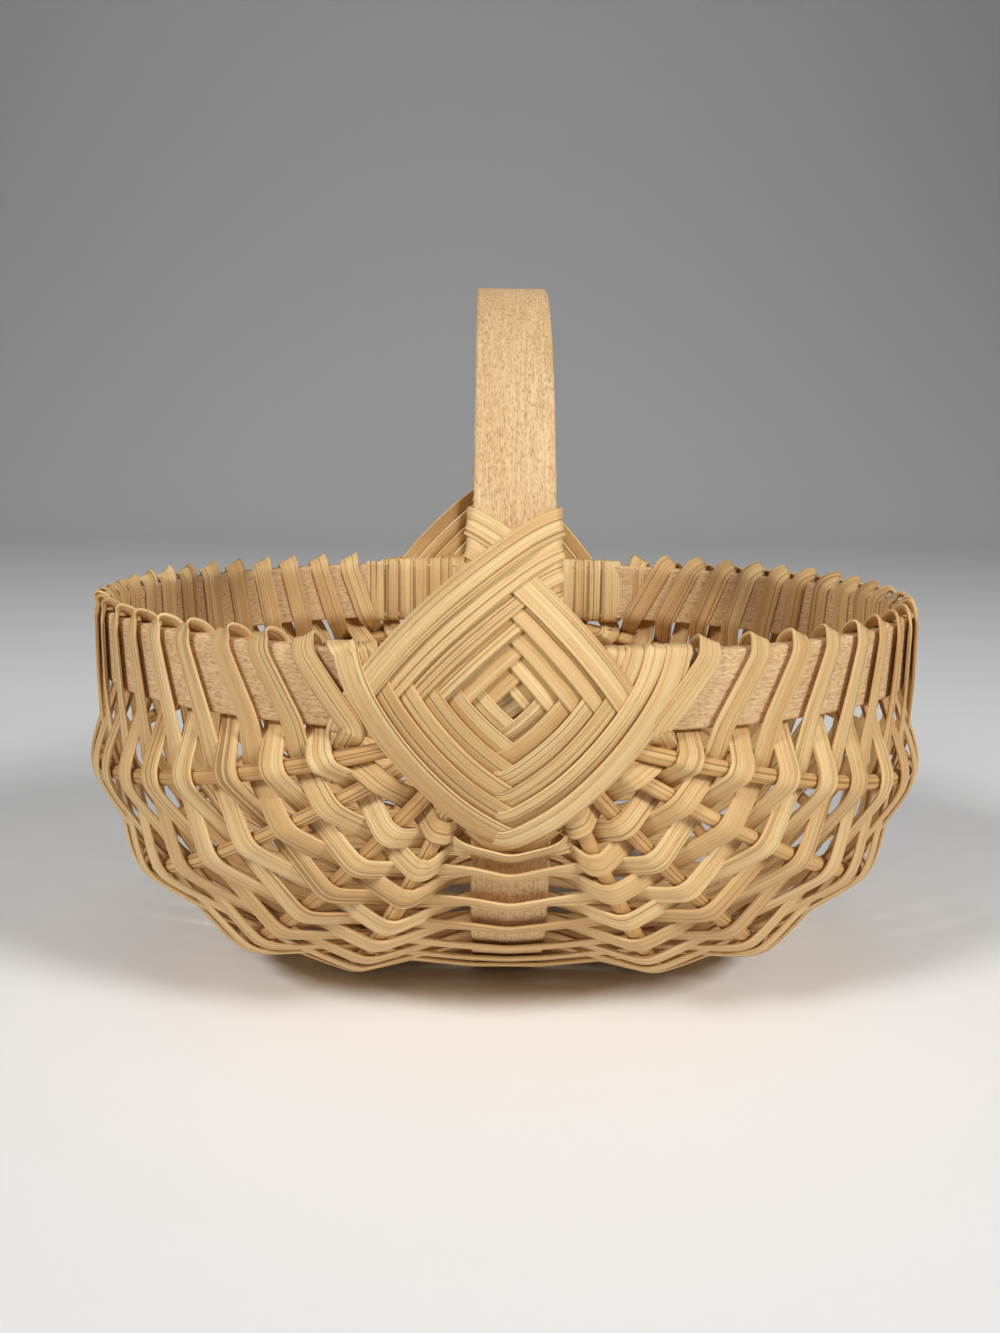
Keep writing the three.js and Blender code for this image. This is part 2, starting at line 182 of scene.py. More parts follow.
def cut_corners(sections, passes):
    """Repeated corner cutting on whole arrays: 3/4 a + 1/4 b and 1/4 a + 3/4 b for each span."""
    for _ in range(passes):
        a, b = sections[:-1], sections[1:]
        pairs = np.stack([0.75 * a + 0.25 * b, 0.25 * a + 0.75 * b], axis=1)
        sections = np.vstack([sections[:1], pairs.reshape(-1, sections.shape[1]), sections[-1:]])
    return sections


def bent_path(at, across, through, passes):
    """A smooth path through the sections, with across and through square to it. The half width is the
    length of across, the half thickness the length of through."""
    widths = np.linalg.norm(across, axis=1, keepdims=True)
    depths = np.linalg.norm(through, axis=1, keepdims=True)
    smooth = cut_corners(np.hstack([at, across, through, widths, depths]), passes)
    at, across, through = smooth[:, 0:3], smooth[:, 3:6], smooth[:, 6:9]
    along = unit(np.gradient(at, axis=0))
    across = unit(across - dot(across, along) * along)
    square = unit(np.cross(along, across))
    square = square * np.where(dot(square, through) < 0, -1, 1)
    return at, across * smooth[:, 9:10], square * smooth[:, 10:11]


print("two passes make", len(cut_corners(np.eye(3), 2)), "sections of 3")

# %% [markdown]
# The wood's colours are sums and masks of noise. Such maths can be wired up node by node, but it reads
# best as arithmetic. This small class wraps an output socket, so that an expression such as 1 - mask adds
# the Math node it stands for.

# %% A class for shader expressions


class Value:
    """A shader value: an output socket of a node tree, with arithmetic."""

    def __init__(self, tree, socket):
        self.tree = tree
        self.socket = socket

    def math(self, operation, *others):
        """A Math node that takes this value first."""
        sockets = {i: other for i, other in enumerate((self,) + others)}
        return self.tree.node("ShaderNodeMath", {"operation": operation}, sockets)

    def __add__(self, other):
        return self.math("ADD", other)

    def __sub__(self, other):
        return self.math("SUBTRACT", other)

    def __mul__(self, other):
        return self.math("MULTIPLY", other)

    def __rsub__(self, other):
        return self.tree.node("ShaderNodeMath", {"operation": "SUBTRACT"}, {0: other, 1: self})

    __radd__ = __add__
    __rmul__ = __mul__

    def between(self, low, high):
        """0 below low, 1 above high, and smooth between."""
        settings = {"interpolation_type": "SMOOTHSTEP"}
        sockets = {"Value": self, "From Min": low, "From Max": high}
        return self.tree.node("ShaderNodeMapRange", settings, sockets)


print("shader values can be added, subtracted and multiplied")

# %% [markdown]
# A finish is a material while it is being made. Photographs of reed could be wrapped round the strands,
# but they repeat and have edges. Noise has neither, so every finish here is noise that is stretched along
# the grain. One method adds any node, and the others are short names for what wood needs.

# %% A class for finishes
SPECULAR = 0.35


class Finish:
    """A node tree under construction, with one method that adds any node."""

    def __init__(self, name):
        self.material = bpy.data.materials.new(name)
        self.material.use_nodes = True
        self.nodes = self.material.node_tree.nodes
        self.links = self.material.node_tree.links
        self.shader = self.nodes["Principled BSDF"]

    def feed(self, socket, value):
        """Links a shader value to a socket, or sets a plain value on it."""
        if isinstance(value, Value):
            self.links.new(value.socket, socket)
        else:
            socket.default_value = value

    def node(self, kind, settings, sockets, output=0):
        """Adds a node, sets its settings, feeds its sockets and returns one output."""
        made = self.nodes.new(kind)
        for key, setting in settings.items():
            setattr(made, key, setting)
        for key, value in sockets.items():
            self.feed(made.inputs[key], value)
        return Value(self, made.outputs[output])

    def mix(self, factor, a, b):
        """A colour between a and b. Sockets 6 and 7 and output 2 are the Mix node's colours."""
        sockets = {"Factor": factor, 6: a, 7: b}
        return self.node("ShaderNodeMix", {"data_type": "RGBA"}, sockets, 2)

    def grain(self, per_mm_across, per_mm_along, detail, seed):
        """Noise on the piece's own millimetres, stretched along the grain."""
        uv = self.node("ShaderNodeUVMap", {"uv_map": "grain"}, {})
        place = self.node(
            "ShaderNodeVectorMath",
            {"operation": "MULTIPLY_ADD"},
            {0: uv, 1: (per_mm_across, per_mm_along, 0), 2: (seed, seed, seed)},
        )
        return self.node("ShaderNodeTexNoise", {}, {"Vector": place, "Scale": 1.0, "Detail": detail})

    def tone(self):
        """The tone that each strand was given when its mesh was made."""
        return self.node("ShaderNodeAttribute", {"attribute_name": "tone"}, {}, "Fac")

    def finish(self, colour, roughness, height, relief_mm):
        """Feeds the shader its colour, roughness and relief."""
        self.feed(self.shader.inputs["Base Color"], colour)
        self.feed(self.shader.inputs["Roughness"], roughness)
        sockets = {"Height": height, "Distance": relief_mm / MM_PER_M, "Strength": 1.0}
        self.feed(self.shader.inputs["Normal"], self.node("ShaderNodeBump", {}, sockets))
        self.shader.inputs["Specular IOR Level"].default_value = SPECULAR
        return self.material


def paint(red, green, blue):
    """A colour as it looks on screen, 0 to 255, in the linear values that nodes use."""
    share = np.array([red, green, blue]) / 255
    linear = np.where(share <= 0.04045, share / 12.92, ((share + 0.055) / 1.055) ** 2.4)
    return (*linear.tolist(), 1.0)


print("a middle grey on screen is", round(paint(128, 128, 128)[0], 3), "in the nodes")

# %% [markdown]
# The flat reed is split from the core of a climbing palm. Long fibres run through it, so its faces show
# fine lines from end to end: pale ridges, honey-coloured ground and a few thin dark splits. The lines
# could be modelled, but they are finer than the mesh. They are noise that is stretched along the strip,
# and the same noise makes the relief, so that the pale ridges also catch the light.

# %% The reed's finish


def reed_finish(name, pale, honey, shade, split):
    """Streaks of three tones along the reed, thin dark splits, and slow changes along the strand."""
    f = Finish(name)
    fine = f.grain(2.6, 0.010, 3.0, 3.1)
    broad = f.grain(0.7, 0.005, 2.0, 17.7)
    patch = f.grain(0.12, 0.02, 2.0, 41.3)
    fleck = f.grain(2.4, 0.14, 2.0, 63.9)
    streak = (fine * 0.6 + broad * 0.4).between(0.38, 0.62)
    ground = f.mix(streak, honey, pale)
    darker = (patch * 0.7 + f.tone() * 0.6 - 0.15).between(0.2, 0.85)
    ground = f.mix(darker * 0.6, ground, shade)
    crack = f.grain(1.7, 0.006, 2.0, 87.1).between(0.58, 0.66)
    marks = crack * 0.6 + fleck.between(0.62, 0.72) * 0.3
    colour = f.mix(marks, ground, split)
    height = fine * 0.6 + broad * 0.4 - crack * 0.5
    return f.finish(colour, 0.5 + fine * 0.2, height, 0.3)


flat_reed = reed_finish(
    "flat_reed", paint(240, 210, 154), paint(217, 174, 114), paint(191, 140, 80), paint(128, 86, 46)
)
rib_reed = reed_finish(
    "rib_reed", paint(230, 192, 132), paint(212, 164, 102), paint(184, 130, 74), paint(124, 82, 42)
)
print("finishes:", flat_reed.name, rib_reed.name)

# %% [markdown]
# The hoops are sawn wood, sanded and left bare. Up close they are pale brown with a fine speckle: short
# dark pores and light flecks that lie along the bend. A wave texture would give neat rings, which a band
# sawn along the trunk doesn't show. Two scales of stretched noise make the speckle, and a slow third one
# keeps half a metre of band from looking printed.

# %% The hoops' finish


def hoop_finish():
    """A pale ground with short pores and flecks along the band."""
    f = Finish("hoop_wood")
    pore = f.grain(2.6, 0.7, 3.0, 5.3)
    fibre = f.grain(1.6, 0.06, 3.0, 23.9)
    cloud = f.grain(0.10, 0.02, 2.0, 57.1)
    ground = f.mix(fibre.between(0.35, 0.65), paint(212, 174, 125), paint(228, 194, 147))
    ground = f.mix(cloud.between(0.35, 0.75) * 0.5, ground, paint(208, 166, 115))
    colour = f.mix(pore.between(0.54, 0.66) * 0.6, ground, paint(160, 116, 74))
    colour = f.mix(pore.between(0.45, 0.34) * 0.5, colour, paint(242, 213, 169))
    return f.finish(colour, 0.62 + fibre * 0.15, pore * 0.5 + fibre * 0.5, 0.16)


hoop_wood = hoop_finish()
print("finish:", hoop_wood.name)

# %% [markdown]
# The rim hoop is an ellipse that sits inside the round handle hoop. A bevelled curve object could stand
# for each of them, but the reeds have to lie on the hoops too. So the hoops' faces are functions of an
# angle, which the bands, the weave and the eyes share.

# %% The curves of the hoops


def rim_out(angle):
    """The direction out of the rim's outer face. The angle runs from the front, over +X, to the back."""
    slope = np.stack([np.sin(angle) / rim_half_length, -np.cos(angle) / rim_half_depth, 0 * angle], -1)
    return unit(slope)


def rim_run(angle):
    """The direction along the rim, from front to back."""
    return unit(np.stack([rim_half_length * np.cos(angle), rim_half_depth * np.sin(angle), 0 * angle], -1))


def rim_point(angle, outwards, height):
    """A point so far outside the rim's outer face, and so far above the rim's middle."""
    x, y = rim_half_length * np.sin(angle), -rim_half_depth * np.cos(angle)
    face = np.stack(np.broadcast_arrays(x, y, height), axis=-1)
    return face + rim_out(angle) * np.expand_dims(np.broadcast_to(outwards, np.shape(angle)), -1)


def hoop_point(angle, radius, x):
    """A point of the handle hoop. The angle runs from the front down round the keel."""
    y, z = -radius * np.cos(angle), hoop_rise - radius * np.sin(angle)
    return np.stack(np.broadcast_arrays(x, y, z), axis=-1)


HOOP_STEPS = 256
turns = 2 * np.pi * np.arange(HOOP_STEPS) / HOOP_STEPS
print(f"the rim's band is {walk(rim_point(turns, 0.0, 0.0))[-1]:.0f} mm long")

# %% [markdown]
# The hoops are flat bands with their edges rounded over by sanding. A bevelled box could be bent round,
# but bending would spread its faces unevenly. A rounded oblong carried round the hoop's own curve keeps
# its section everywhere. Each mesh then rides on the frame in place of its CAD node.

# %% The rim and the handle hoop
EDGE_ROUNDING = 0.8
CORNER_STEPS = 5
PLAIN_TONE = 0.5


def rounded_band(half_width, half_thickness, radius):
    """An oblong with rounded corners: four quarter circles, in millimetres."""
    turn = np.linspace(0, np.pi / 2, CORNER_STEPS)
    quarter = radius * np.stack([np.cos(turn), np.sin(turn)], axis=-1)
    quarter += [half_width - radius, half_thickness - radius]
    half = np.vstack([quarter, quarter[::-1] * [-1, 1]])
    return np.vstack([half, -half])


def dress(piece, material, slot, *nodes):
    """Gives a piece its finish, and lets it ride in place of its CAD nodes."""
    piece.data.materials.append(material)
    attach(piece, "root")
    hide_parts(*nodes)


band_outline = rounded_band(band_half, BAND_THICKNESS / 2, EDGE_ROUNDING)
plain_tone = np.full(HOOP_STEPS, PLAIN_TONE)
upward = np.tile([0.0, 0.0, 1.0], (HOOP_STEPS, 1))
sideways = np.tile([1.0, 0.0, 0.0], (HOOP_STEPS, 1))
rim_path = (rim_point(turns, -BAND_THICKNESS / 2, 0.0), upward, rim_out(turns))
handle_out = np.stack([0 * turns, -np.cos(turns), -np.sin(turns)], axis=-1)
handle_path = (hoop_point(turns, hoop_radius - BAND_THICKNESS / 2, 0.0), sideways, handle_out)
rim = sweep("rim_band", rim_path, band_outline, plain_tone, closed=True)
dress(rim, hoop_wood, "hoop_wood", "rim_hoop")
handle = sweep("handle_band", handle_path, band_outline, plain_tone, closed=True)
dress(handle, hoop_wood, "hoop_wood", "handle_hoop")
print("hoops:", rim.name, handle.name)

# %% [markdown]
# Eight round ribs give the basket its two swelling cheeks. Each springs from a pocket under the front
# eye, bows outwards and down, and ends in the same pocket at the back. A spline through picked points
# could draw it. Half an ellipse needs no picking: its reach and drop are read from the CAD rib's box, and
# the weave can ask it for any point.

# %% The curves of the ribs
RIB_RADIUS = 2.0
RIB_NAMES = ("upper_rib", "lower_rib", "outer_bottom_rib", "inner_bottom_rib")


def rib_form(name):
    """The pocket, the swell from it and the half depth of a right-hand rib, from its CAD box."""
    low, high = box_mm(name + "_right")
    pocket = np.array([low[0] + RIB_RADIUS, high[2] - RIB_RADIUS - rim_height])
    farthest = np.array([high[0] - RIB_RADIUS, low[2] + RIB_RADIUS - rim_height])
    return pocket, farthest - pocket, high[1]


rib_forms = [rib_form(name) for name in RIB_NAMES]


def rib_point(rib, angle):
    """pocket + swell * sin(angle), and the depth runs with -cos(angle) from front to back."""
    pocket, swell, half_depth = rib_forms[rib]
    x, z = (pocket[i] + swell[i] * np.sin(angle) for i in range(2))
    return np.stack([x, -half_depth * np.cos(angle), z], axis=-1)


def rib_run(rib, angle):
    """The direction along the rib, from front to back."""
    _, swell, half_depth = rib_forms[rib]
    x, z = (swell[i] * np.cos(angle) for i in range(2))
    return unit(np.stack([x, half_depth * np.sin(angle), z], axis=-1))


print("the ribs swell by", [f"{np.linalg.norm(swell):.0f} mm" for _, swell, _ in rib_forms])

# %% [markdown]
# Ribs are round reed, trimmed by hand, so they are not quite even. A cylinder on a curve modifier would
# pinch in the pockets. The sweep keeps every ring square to the rib, and a slow wave in the radius stands
# for the hand's work. The left ribs mirror the right ones, as they do in the CAD.

# %% The ribs
RIB_STEPS = 96
RIB_SIDES = 16
RIB_TONES = (0.2, 0.8)
RIB_UNEVENNESS, RIB_WAVES = 0.03, 9  # share of the radius, and half waves along a rib
MIRROR = np.array([-1.0, 1.0, 1.0])
around_rib = 2 * np.pi * np.arange(RIB_SIDES) / RIB_SIDES
round_outline = np.stack([np.cos(around_rib), np.sin(around_rib)], axis=-1)
for number, name in enumerate(RIB_NAMES):
    angle = np.linspace(0, np.pi, RIB_STEPS)
    at = rib_point(number, angle)
    run = rib_run(number, angle)
    across = unit(np.cross(run, [1.0, 0.0, 1.0]))
    through = np.cross(run, across)
    thickness = RIB_RADIUS * (1 + RIB_UNEVENNESS * np.sin(RIB_WAVES * angle + number))[:, None]
    for side, flip in (("right", np.ones(3)), ("left", MIRROR)):
        path = (at * flip, across * flip * thickness, through * flip * thickness)
        tone = np.full(RIB_STEPS, RANDOM.uniform(*RIB_TONES))
        rod = sweep(f"{name}_{side}_rod", path, round_outline, tone)
        dress(rod, rib_reed, "rib_reed", f"{name}_{side}")
print("ribs:", 2 * len(RIB_NAMES))

# %% [markdown]
# The weaver goes over and under the ribs, round the keel's inside or outside, up the other side, over the
# rim's top edge and back. A row that wraps the outside of the rim passes inside the first rib, outside
# the second and so on, and the next row does the opposite. The rows could be drawn one by one. Hand work
# is even enough for one pitch on each hoop and rib, with a little wobble on every crossing. Only beside
# the eyes the keel's rows are squeezed together, as the eye takes their place.

# %% Where the rows cross the frame
ROW_COUNT = 43
MIDDLE_ROW = ROW_COUNT // 2
RIM_PITCH, KEEL_PITCH, KEEL_SQUEEZE = np.radians((3.31, 3.405, 1.3))
RIB_PITCHES = np.radians((3.935, 3.94, 3.93, 4.0))
SQUEEZED_ROWS = 3  # beside each eye
WOBBLE = 0.0055  # radians
rows = np.arange(ROW_COUNT)
wraps_outside = rows % 2 == 0
out_sign = np.where(wraps_outside, 1.0, -1.0)


def crossing(pitch):
    """Angles from the front, evenly spread on both sides of the middle row at a quarter turn."""
    return np.pi / 2 + pitch * (rows - MIDDLE_ROW)


def keel_crossing():
    """The same on the keel, with the first and last rows pushed back by the eyes."""
    squeezed = np.maximum(0, SQUEEZED_ROWS - np.minimum(rows, rows[-1] - rows))
    return crossing(KEEL_PITCH) + KEEL_SQUEEZE * squeezed * np.sign(MIDDLE_ROW - rows)


keel_angle = keel_crossing() + RANDOM.normal(0, WOBBLE, len(rows))
print("first crossings, degrees:", np.degrees([crossing(p)[0] for p in (RIM_PITCH, *RIB_PITCHES)]).round(1))

# %% [markdown]
# On the rim a row is a short wrap of quarter inch reed over the band. All rows are worked out together:
# the first index of every array is the row. Upright wraps would look machine-made. The real ones lean
# away from the eyes, because the rim runs away from the weaver's hand there, and they lie like shingles,
# with one edge on the band. The lean and the shift differ from quarter to quarter, as in the photograph:
# they are given in millimetres for the right side (1) and the left (-1), as one pair before the handle
# and one behind.

# %% The rows on the rim
REED_WIDTH = 6.4
REED_THICKNESS = 0.8
REED_AIR = 0.15  # between a reed and what it lies on
REED_LIFT = REED_THICKNESS / 2 + REED_AIR
OUTER_WRAPS = {1: ((7.0, 4.5), (7.0, 4.5)), -1: ((7.0, 4.5), (8.0, 11.0))}
INNER_WRAPS = {1: ((2.0, -1.0), (6.9, 6.0)), -1: ((6.9, 6.0), (4.4, 7.0))}
WRAP_HEIGHTS = (8.2, 3.0, -3.0, -9.2)
WRAP_TILT = math.radians(11)
HALF_SHARPNESS = 3  # how fast the basket's halves change into each other
EDGE_LEAN, EDGE_NEARER, EDGE_LIFT = 1.7, 2.0, 1.4
EDGE_SHARES = (0.0, 0.5, 1.0, 1.0)  # of the lift, at the four heights
edge_row = (rows == rows[0]) | (rows == rows[-1])


def eye_half(cosine):
    """1 on one eye's half of the basket and -1 on the other's, with a short change between them."""
    return np.clip(HALF_SHARPNESS * cosine, -1, 1)


def rim_sections(middle, side):
    """A row's sections on the rim's face, inside or outside, leaning away from the eye at the top. The
    lean grows with the square of the cosine, from nothing at the basket's ends. The rows beside the eyes
    lie on the eyes' own windings, so they are lifted."""
    away = np.cos(middle) * np.abs(np.cos(middle)) / rim_half_length
    before = middle[:, None] < np.pi / 2
    outer, inner = (np.where(before, *wraps[side]) for wraps in (OUTER_WRAPS, INNER_WRAPS))
    lean, shift = np.where(wraps_outside[:, None], outer, inner).T
    lean, shift = lean + EDGE_LEAN * edge_row, shift - EDGE_NEARER * edge_row
    tilt = np.where(wraps_outside, WRAP_TILT * eye_half(np.cos(middle)), 0)
    lifted = REED_LIFT + REED_WIDTH / 2 * np.abs(np.sin(tilt))
    outwards = np.where(wraps_outside, lifted, -BAND_THICKNESS - REED_LIFT)
    lifts = [outwards + EDGE_LIFT * edge_row * share for share in EDGE_SHARES]
    angles = [middle + away * (shift + lean * height / band_half) for height in WRAP_HEIGHTS]
    at = [rim_point(*place) for place in zip(angles, lifts, WRAP_HEIGHTS)]
    flat, raised = np.cos(tilt)[:, None], np.sin(tilt)[:, None]
    across = [(rim_run(angle) * flat - rim_out(angle) * raised) * REED_WIDTH / 2 for angle in angles]
    through = [(rim_out(angle) * flat + rim_run(angle) * raised) * REED_THICKNESS / 2 for angle in angles]
    return at, across, through


print("a wrap has", len(rim_sections(crossing(RIM_PITCH), 1)[0]), "sections for each of", len(rows), "rows")

# %% [markdown]
# Where a row crosses a rib, the reed bends over it and lies flat on its crest. A shrinkwrap could pull it
# there, but would also pull it in between the ribs. Three sections hold the bend by themselves: before,
# on and after the crest. At the basket's ends the rows run wide of each other, and their bends are wider.

# %% The rows over a rib
CREST_STEPS = (-1.9, 0.0, 1.9)
CREST_SAGS = (-0.2, 0.15, -0.2)
CREST_SPREAD = 3.2
SAG_POWER = 1.25


def crest_sections(rib, angle, before, after):
    """Three sections on a rib, between the crossings before and after it. They are spread by
    1 + CREST_SPREAD * sin(angle) to the fourth, which is most at the basket's ends."""
    run = rib_run(rib, angle)
    along = unit(after - before)
    out = unit(np.cross(along, run))
    side = (out_sign if rib % 2 == 1 else -out_sign)[:, None]
    crest = rib_point(rib, angle) + out * side * (RIB_RADIUS + REED_LIFT)
    spread = 1 + CREST_SPREAD * np.sin(angle)[:, None] ** 4
    bends = [(step * spread, sag * spread**SAG_POWER) for step, sag in zip(CREST_STEPS, CREST_SAGS)]
    at = [crest + along * step + out * side * sag for step, sag in bends]
    count = len(at)
    return at, [run * REED_WIDTH / 2] * count, [out * REED_THICKNESS / 2] * count


bend_length = CREST_STEPS[-1] - CREST_STEPS[0]
print(f"a bend is {bend_length} mm long, and {bend_length * (1 + CREST_SPREAD):.0f} mm at the basket's ends")

# %% [markdown]
# Under the basket a row crosses the keel, which is the lower half of the handle hoop. Straight across
# would be simplest. But the ribs beside the keel pull the row's ends up, so it smiles. A flat reed can
# only smile by leaning its upper edge off the keel, so the rows outside the keel are tilted, most beside
# the eyes.

# %% The rows on the keel
KEEL_PLACES = (1.06, 0.6, 0.0)  # shares of the keel's half width
KEEL_SMILE = 0.035  # radians
KEEL_TILT = math.radians(48)


def keel_sections():
    """Three sections across half of the keel: at its edge, inside its edge and on its middle. The tilt
    grows with the cosine to the fourth, from nothing under the basket's middle."""
    beside = np.cos(keel_angle) ** 3 * np.abs(np.cos(keel_angle))
    tilt = np.where(wraps_outside, 0, KEEL_TILT * beside)
    lifted = REED_LIFT + REED_WIDTH / 2 * np.abs(np.sin(tilt))
    radius = hoop_radius + np.where(wraps_outside, -BAND_THICKNESS - REED_LIFT, lifted)
    angles = [keel_angle - KEEL_SMILE * np.cos(keel_angle) * place for place in KEEL_PLACES]
    at = [hoop_point(angle, radius, band_half * place) for angle, place in zip(angles, KEEL_PLACES)]
    run = np.stack([0 * keel_angle, np.sin(keel_angle), -np.cos(keel_angle)], axis=-1)
    out = np.stack([0 * keel_angle, -np.cos(keel_angle), -np.sin(keel_angle)], axis=-1)
    lean, upright = np.sin(tilt)[:, None], np.cos(tilt)[:, None]
    across, through = run * upright - out * lean, out * upright + run * lean
    count = len(at)
    return at, [across * REED_WIDTH / 2] * count, [through * REED_THICKNESS / 2] * count


lowest = min(place[:, 2].min() for place in keel_sections()[0]) + rim_height
print(f"the lowest row runs {lowest:.1f} mm above the ground")

# %% [markdown]
# Now the sections of half a row are joined from the rim down to the keel. One half could be the other's
# mirror image, but then the wobble would be mirrored too, and no two hands weave like that. So each half
# is worked out by itself. Between the ribs neighbouring rows pass each other, so the reed cups there and
# shows a little less of its width.

# %% The halves of all rows
MID_SPAN_WIDTH = 6.0
RIM_NEARER, RIB_NEARER = 0.02, 0.03  # radians


def half_rows(side):
    """Sections from the rim's top edge to the keel's middle, with one narrower section in each span.
    The front rows on the right lie a little nearer to the eye than those on the left."""
    wobble = RANDOM.normal(0, WOBBLE, (1 + len(RIB_NAMES), len(rows)))
    nearer = np.maximum(0, np.cos(crossing(RIM_PITCH))) * (side > 0)
    groups = [rim_sections(crossing(RIM_PITCH) + wobble[0] - RIM_NEARER * nearer, side)]
    angles = [crossing(pitch) + wobble[1 + rib] for rib, pitch in enumerate(RIB_PITCHES)]
    angles = [angle - RIB_NEARER * nearer for angle in angles]
    keel = keel_sections()
    stations = [groups[0][0][-1]]
    stations += [rib_point(rib, angle) for rib, angle in enumerate(angles)]
    stations.append(keel[0][0])
    for rib, angle in enumerate(angles):
        groups.append(crest_sections(rib, angle, stations[rib], stations[rib + 2]))
    groups.append(keel)
    at, across, through = (list(part) for part in groups[0])
    narrow = MID_SPAN_WIDTH / REED_WIDTH
    for next_at, next_across, next_through in groups[1:]:
        at += [(at[-1] + next_at[0]) / 2, *next_at]
        across += [(across[-1] + next_across[0]) / 2 * narrow, *next_across]
        through += [(through[-1] + next_through[0]) / 2, *next_through]
    return np.stack(at, 1), np.stack(across, 1), np.stack(through, 1)


right_rows, left_rows = half_rows(1), tuple(part * MIRROR for part in half_rows(-1))
print("sections in half a row:", right_rows[0].shape[1])

# %% [markdown]
# At the end of a row the reed goes over the rim's top edge and turns its other face outwards. A plain
# fold would lie flat there. Real reed is too stiff for that, so it stands proud of the rim in a pointed
# loop, with the edge that is nearer to an eye up. The very first and last rows end in a tail that is
# tucked inside the rim.

# %% The turns over the rim
LOOP_SHARES = np.array([[0.2], [0.34], [0.75]])
LOOP_RISES = np.array([1.9, 2.4, 1.0])
LOOP_TILT = math.radians(27)
TAIL_HEIGHTS = (-4.0, 2.0, 8.0)


def over_rim(before, after, outside_first):
    """Sections of a loop above the rim's top edge, between an outside wrap and an inside wrap. Each lies
    at its share of the way, at its rise above the rim, with its across vector tilted upwards."""
    shares = LOOP_SHARES if outside_first else 1 - LOOP_SHARES[::-1]
    rises = LOOP_RISES if outside_first else LOOP_RISES[::-1]
    at = before[0][-1] * (1 - shares) + after[0][0] * shares
    tilt = LOOP_TILT * eye_half(at[:, 1:2] / rim_half_depth)
    at[:, 2] = band_half + rises
    across = before[1][-1] * (1 - shares) + after[1][0] * shares
    across = across * np.cos(tilt) + np.array([0.0, 0.0, REED_WIDTH / 2]) * np.sin(tilt)
    return at, across, np.tile([0.0, 0.0, REED_THICKNESS / 2], (len(rises), 1))


def tail(wrap, heights):
    """A tail inside the rim, for the end of an outside wrap: the same wrap, moved through the rim."""
    at, across, through = (np.tile(part, (len(heights), 1)) for part in wrap)
    at -= unit(through) * (BAND_THICKNESS + 2 * REED_LIFT)
    at[:, 2] = heights
    return at, across, -through


print(f"the loops stand {LOOP_RISES.max()} mm above the rim")

# %% [markdown]
# Now the rows are strung together. Each could be a mesh of its own, but the reed doesn't end at the rim.
# Inside rows run from right to left and outside rows back again, with a turn over the rim between them,
# so the whole weave is one path.

# %% String the rows together


def side_row(index, side, downwards):
    """One half of a row, run down from the rim or up to it. Inside rows show the reed's other face."""
    at, across, through = (part[index] for part in side)
    parts = (at, across, through * out_sign[index])
    return parts if downwards else tuple(part[::-1] for part in parts)


def whole_row(index):
    """A row from one end of its rim wrap to the other."""
    start, end = (left_rows, right_rows) if wraps_outside[index] else (right_rows, left_rows)
    halves = zip(side_row(index, start, True), side_row(index, end, False))
    return tuple(np.vstack([down, up[1:]]) for down, up in halves)


def strung_rows():
    """Both tails and all rows, with the turns over the rim between them, and the span over each turn."""
    first, last = whole_row(rows[0]), whole_row(rows[-1])
    pieces = [tail([part[0] for part in first], TAIL_HEIGHTS)]
    pieces += [whole_row(index) for index in rows]
    pieces.append(tail([part[-1] for part in last], TAIL_HEIGHTS[::-1]))
    parts, turns_at = pieces[:1], []
    for piece in pieces[1:]:
        turns_at.append(sum(len(part[0]) for part in parts))
        parts += [over_rim(parts[-1], piece, len(turns_at) % 2 == 0), piece]
    return tuple(np.vstack(part) for part in zip(*parts)), turns_at[1:-1]


sections, turns_at = strung_rows()
print("the weave is laid out in", len(sections[0]), "sections with", len(turns_at), "turns over the rim")

# %% [markdown]
# A reed lasts for a few rows. The next one is let in under it on top of the rim, where the join can't be
# seen. Bending each length by itself would leave a kink at the joins. So the weave is bent as one path
# and then cut into lengths there, one for each weaver of the frame. The tone changes slowly along it, as
# it does along a palm.

# %% The weavers
WEAVE_PASSES = 3
TONES_PER_ROW = 4
WEAVE_TONES = (0.1, 0.9)
half_outline = np.array([[1.0, 0.35], [0.97, 0.8], [0.88, 1.0], [-0.88, 1.0], [-0.97, 0.8], [-1.0, 0.35]])
reed_outline = np.vstack([half_outline, -half_outline])


def span_after_cuts(span):
    """Each pass of corner cutting leaves the middle half of span n as span 2 n + 1."""
    return (span + 1) * 2**WEAVE_PASSES - 1


weave = bent_path(*sections, passes=WEAVE_PASSES)
walked = walk(weave[0])[:-1]
knots = TONES_PER_ROW * len(rows)
weave_tone = np.interp(walked, np.linspace(0, walked[-1], knots), RANDOM.uniform(*WEAVE_TONES, knots))
weaver_names = sorted(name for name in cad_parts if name.startswith("weaver_"))
rows_each = len(rows) // len(weaver_names)
joins = [span_after_cuts(span) for span in turns_at[rows_each::rows_each]]
ends = [0, *joins, len(weave[0]) - 1]
for name, first, last in zip(weaver_names, ends[:-1], ends[1:]):
    length = slice(first, last + 1)
    path = tuple(part[length] for part in weave)
    strand = sweep(f"{name}_reed", path, reed_outline, weave_tone[length], start=(0.0, walked[first]))
    dress(strand, flat_reed, "flat_reed", name)
print(f"weavers: {len(weaver_names)}, {walked[-1] / MM_PER_M:.1f} m of reed")

# %% [markdown]
# An eye is wound outwards round the crossed hoops. The reed passes over an arm, round behind it and on to
# the next arm, each time a little farther out. Four triangles with lines on them would do from afar, but
# the eye is the finest work on the basket, so every pass is a strip of its own. It is a bowed arc on the
# diagonal between two arms. The lower arcs bow more, as the ribs push them out.

